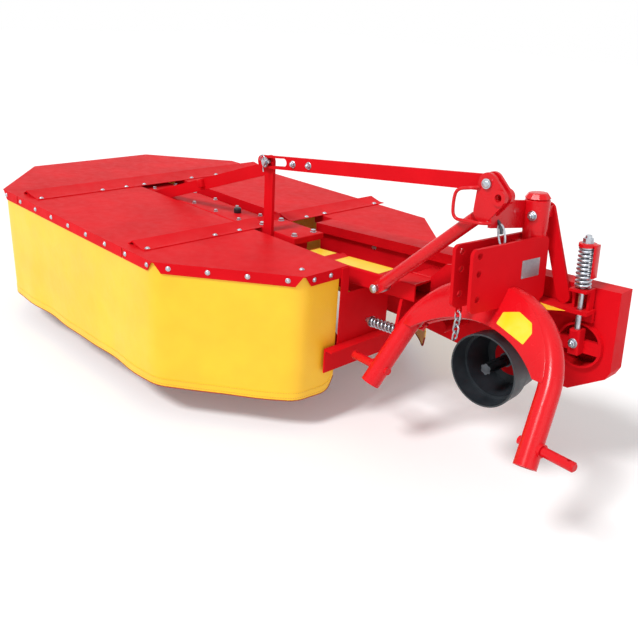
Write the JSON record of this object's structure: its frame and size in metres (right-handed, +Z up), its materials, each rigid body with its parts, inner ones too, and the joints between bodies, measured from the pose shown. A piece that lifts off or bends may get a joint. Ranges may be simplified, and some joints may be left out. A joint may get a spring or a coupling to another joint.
{
  "type": "disc mower",
  "caption": "Tractor-mounted two-drum rotary mower with an octagonal canopy, hanging canvas skirts, a side arm and a swinging three-point hitch yoke.",
  "frame": {"origin": "on the ground below the middle of the whole machine's box", "axes": "+Z up; +X from the cutting unit towards the hitch; the machine travels towards -Y, so the tractor stands at -Y of the hitch"},
  "size_m": [2.867, 1.245, 0.9883],
  "materials": {
    "red_paint": "gloss red enamel with light wear",
    "zinc": "zinc plated, satin",
    "steel": "bare machined steel",
    "dark_steel": "dark hardened steel",
    "canvas": "yellow coated canvas with a sewn hem",
    "black_plastic": "black moulded plastic"
  },
  "bodies": {
    "mower": {"canopy_front_outer": "red_paint", "canopy_front_middle": "red_paint", "canopy_front_inner": "red_paint", "canopy_centre_outer": "red_paint", "canopy_rear_outer": "red_paint", "canopy_rear_middle": "red_paint", "canopy_rear_inner": "red_paint", "cross_members": "red_paint", "cross_strips": "red_paint", "skirt_front": "canvas", "skirt_rear": "canvas", "gear_beam": "red_paint", "spindles": "steel", "hinge_bracket": "red_paint", "gearbox_cover": "red_paint", "lift_post": "red_paint", "post_pin": "zinc", "post_brace": "red_paint", "end_plate": "red_paint", "angle_bar": "red_paint"},
    "rotor_inner": {"drum_inner": "red_paint", "disc_inner": "red_paint", "knives_inner": "dark_steel"},
    "rotor_outer": {"drum_outer": "red_paint", "disc_outer": "red_paint", "knives_outer": "dark_steel"},
    "skid_inner": {"skid_inner": "dark_steel"},
    "skid_outer": {"skid_outer": "dark_steel"},
    "arm": {"arm_beam": "red_paint", "arm_cheeks": "red_paint", "arm_head": "red_paint", "kingpin": "steel", "upper_bracket": "red_paint", "diagonal_tube": "red_paint", "arm_pins": "zinc", "handle_rod": "red_paint", "strut": "red_paint", "belt_guard": "red_paint", "belt_guard_back": "red_paint", "shaft_housing": "red_paint", "pto_cup": "black_plastic", "tensioner_spring": "zinc", "tensioner_base": "red_paint", "tensioner_rod": "zinc", "idler_ring": "red_paint", "tensioner_clevis": "red_paint", "latch_plate": "red_paint", "latch_rod": "zinc", "latch_spring": "zinc", "latch_tube": "red_paint", "lift_bar": "red_paint"},
    "input_shaft": {"input_shaft": "steel"},
    "yoke": {"headstock_plates": "red_paint", "hitch_gussets": "red_paint", "hitch_arch": "red_paint", "hitch_pins": "red_paint", "pivot_tube": "red_paint", "chain": "zinc"}
  },
  "joints": [
    {"name": "rotor_inner_spin", "type": "hinge", "parent": "mower", "child": "rotor_inner", "pos_m": [-0.12349, 0.0025, 0.44], "axis": [0, 0, 1], "continuous": true},
    {"name": "rotor_outer_spin", "type": "hinge", "parent": "mower", "child": "rotor_outer", "pos_m": [-0.94849, 0.0025, 0.44], "axis": [0, 0, 1], "continuous": true},
    {"name": "skid_inner_spin", "type": "hinge", "parent": "mower", "child": "skid_inner", "pos_m": [-0.12349, 0.0025, 0], "axis": [0, 0, 1], "continuous": true},
    {"name": "skid_outer_spin", "type": "hinge", "parent": "mower", "child": "skid_outer", "pos_m": [-0.94849, 0.0025, 0], "axis": [0, 0, 1], "continuous": true},
    {"name": "arm_tilt", "type": "hinge", "parent": "mower", "child": "arm", "pos_m": [0.11151, 0.0025, 0.43], "axis": [0, -1, 0], "range_deg": [0, 12]},
    {"name": "input_spin", "type": "hinge", "parent": "arm", "child": "input_shaft", "pos_m": [1.02196, -0.0175, 0.41288], "axis": [0, 1, 0], "continuous": true},
    {"name": "yoke_swing", "type": "hinge", "parent": "arm", "child": "yoke", "pos_m": [1.01653, 0.0925, 0.60397], "axis": [-0.0702, 0, 0.9975], "range_deg": [0, 45]}
  ],
  "couplings": [
    {"joint": "rotor_outer_spin", "follows": "rotor_inner_spin", "ratio": -1},
    {"joint": "input_spin", "follows": "rotor_inner_spin", "ratio": 0.30769}
  ]
}
